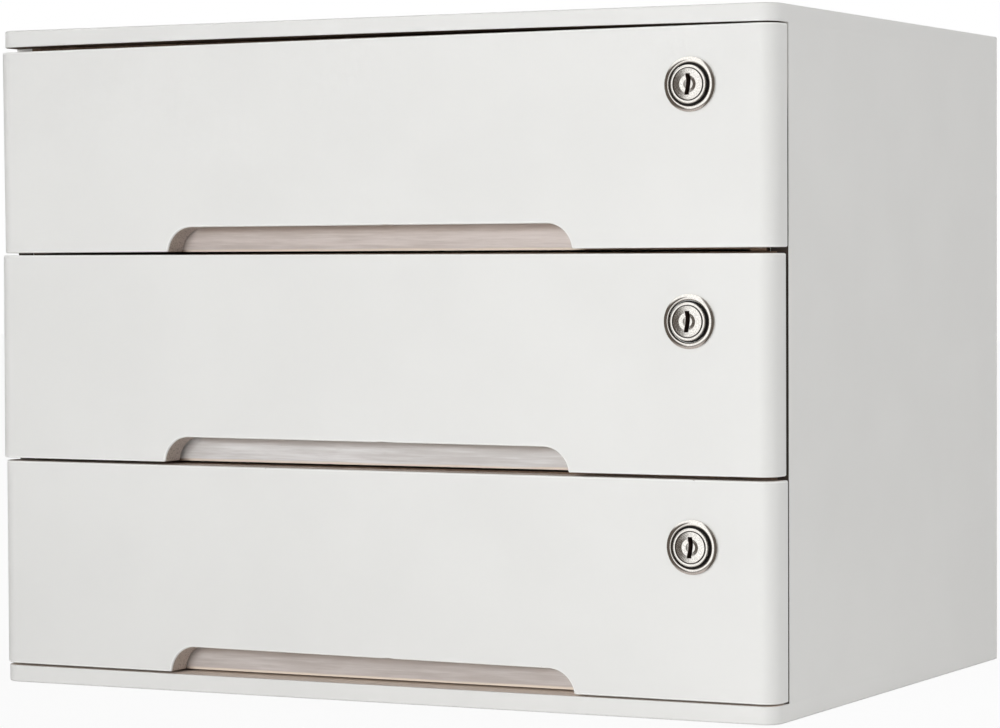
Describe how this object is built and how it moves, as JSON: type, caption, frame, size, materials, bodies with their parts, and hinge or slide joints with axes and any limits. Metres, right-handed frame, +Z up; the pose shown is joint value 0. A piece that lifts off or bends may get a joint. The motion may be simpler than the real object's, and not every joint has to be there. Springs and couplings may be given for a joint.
{
  "type": "desktop drawer cabinet",
  "caption": "White painted wooden desktop cabinet with sliding overlay drawers, finger cut-outs in the fronts and a round key lock on each drawer.",
  "frame": {"origin": "centre of the base's underside, on the surface that the cabinet stands on", "axes": "+Z up, -Y out of the drawer fronts towards the user, +X to the user's right"},
  "size_m": [0.36, 0.2627, 0.28],
  "materials": {
    "white_paint": "satin white paint on wood",
    "limed_wood": "thin whitewash over bare wood",
    "bare_wood": "bare sanded wood",
    "thin_board": "thin plywood",
    "dowel_wood": "beech dowel",
    "lock_nickel": "satin nickel plating",
    "fastener_steel": "zinc-plated steel"
  },
  "bodies": {
    "carcass": {"top_board": "white_paint", "bottom_board": "white_paint", "left_side": "white_paint", "right_side": "white_paint", "back_panel": "thin_board", "upper_divider": "bare_wood", "lower_divider": "bare_wood", "top_lock_rail": "bare_wood", "upper_lock_rail": "bare_wood", "lower_lock_rail": "bare_wood", "carcass_dowels": "dowel_wood", "rail_screws": "fastener_steel", "back_panel_nails": "fastener_steel"},
    "top_drawer": {"top_front": "white_paint", "top_box_front": "limed_wood", "top_box_left_wall": "limed_wood", "top_box_right_wall": "limed_wood", "top_box_back": "limed_wood", "top_box_bottom": "thin_board", "top_front_screws": "fastener_steel", "top_corner_nails": "fastener_steel", "top_lock_barrel": "lock_nickel", "top_lock_trim_ring": "lock_nickel", "top_lock_nut": "fastener_steel"},
    "top_lock": {"top_lock_plug": "lock_nickel", "top_lock_cam": "fastener_steel", "top_cam_bolt": "fastener_steel"},
    "middle_drawer": {"middle_front": "white_paint", "middle_box_front": "limed_wood", "middle_box_left_wall": "limed_wood", "middle_box_right_wall": "limed_wood", "middle_box_back": "limed_wood", "middle_box_bottom": "thin_board", "middle_front_screws": "fastener_steel", "middle_corner_nails": "fastener_steel", "middle_lock_barrel": "lock_nickel", "middle_lock_trim_ring": "lock_nickel", "middle_lock_nut": "fastener_steel"},
    "middle_lock": {"middle_lock_plug": "lock_nickel", "middle_lock_cam": "fastener_steel", "middle_cam_bolt": "fastener_steel"},
    "bottom_drawer": {"bottom_front": "white_paint", "bottom_box_front": "limed_wood", "bottom_box_left_wall": "limed_wood", "bottom_box_right_wall": "limed_wood", "bottom_box_back": "limed_wood", "bottom_box_bottom": "thin_board", "bottom_front_screws": "fastener_steel", "bottom_corner_nails": "fastener_steel", "bottom_lock_barrel": "lock_nickel", "bottom_lock_trim_ring": "lock_nickel", "bottom_lock_nut": "fastener_steel"},
    "bottom_lock": {"bottom_lock_plug": "lock_nickel", "bottom_lock_cam": "fastener_steel", "bottom_cam_bolt": "fastener_steel"}
  },
  "joints": [
    {"name": "top_drawer_slide", "type": "slide", "parent": "carcass", "child": "top_drawer", "axis": [0, -1, 0], "range_m": [0, 0.19]},
    {"name": "top_lock_turn", "type": "hinge", "parent": "top_drawer", "child": "top_lock", "pos_m": [0.1442, -0.13, 0.2491], "axis": [0, 1, 0], "range_deg": [0, 90]},
    {"name": "middle_drawer_slide", "type": "slide", "parent": "carcass", "child": "middle_drawer", "axis": [0, -1, 0], "range_m": [0, 0.19]},
    {"name": "middle_lock_turn", "type": "hinge", "parent": "middle_drawer", "child": "middle_lock", "pos_m": [0.1437, -0.13, 0.1566], "axis": [0, 1, 0], "range_deg": [0, 90]},
    {"name": "bottom_drawer_slide", "type": "slide", "parent": "carcass", "child": "bottom_drawer", "axis": [0, -1, 0], "range_m": [0, 0.19]},
    {"name": "bottom_lock_turn", "type": "hinge", "parent": "bottom_drawer", "child": "bottom_lock", "pos_m": [0.1447, -0.13, 0.0683], "axis": [0, 1, 0], "range_deg": [0, 90]}
  ]
}
